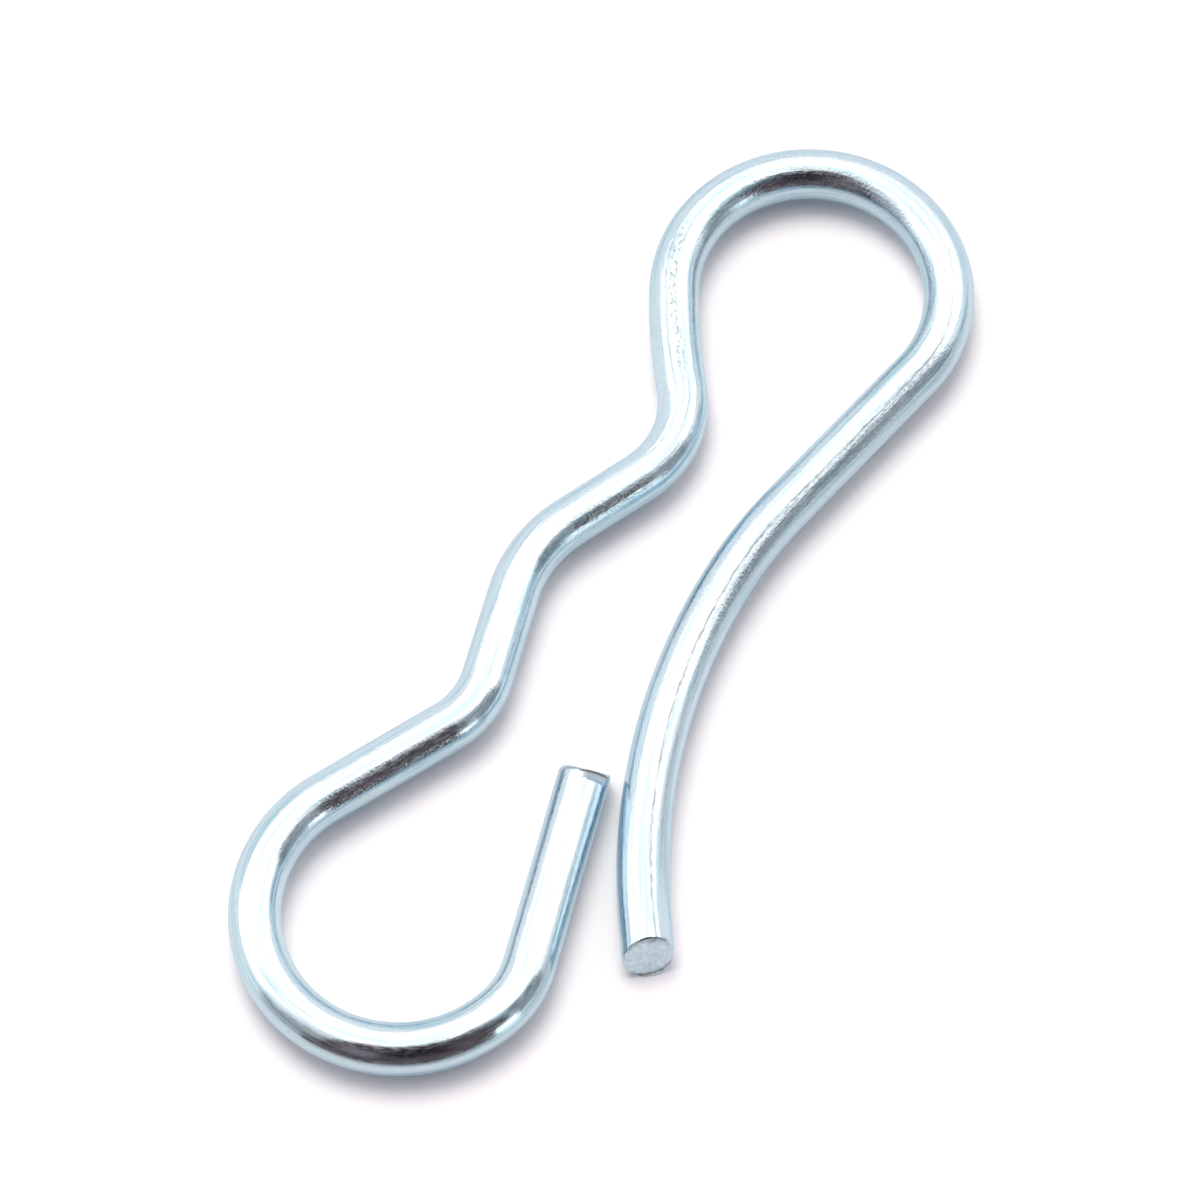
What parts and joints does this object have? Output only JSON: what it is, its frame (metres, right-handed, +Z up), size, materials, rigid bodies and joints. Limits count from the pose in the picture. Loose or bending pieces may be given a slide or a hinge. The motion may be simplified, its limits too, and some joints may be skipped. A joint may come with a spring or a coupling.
{
  "type": "bow tie cotter pin",
  "caption": "Spring wire retaining pin bent in one plane: a round eye, a waved back with a saddle for a shaft, a hooked round end, and a bowed leg beside its tip.",
  "frame": {"origin": "middle of the pin's box, on the surface it lies on", "axes": "+X from the centre of the hook's round to the centre of the eye, +Y from the leg to the waved back, +Z up out of the plane the wire is bent in"},
  "size_m": [0.0666, 0.0246, 0.0031],
  "materials": {
    "zinc": "bright zinc plate with a clear blue passivate over drawn spring steel wire"
  },
  "bodies": {
    "root": {"wire_pin": "zinc"}
  },
  "joints": []
}
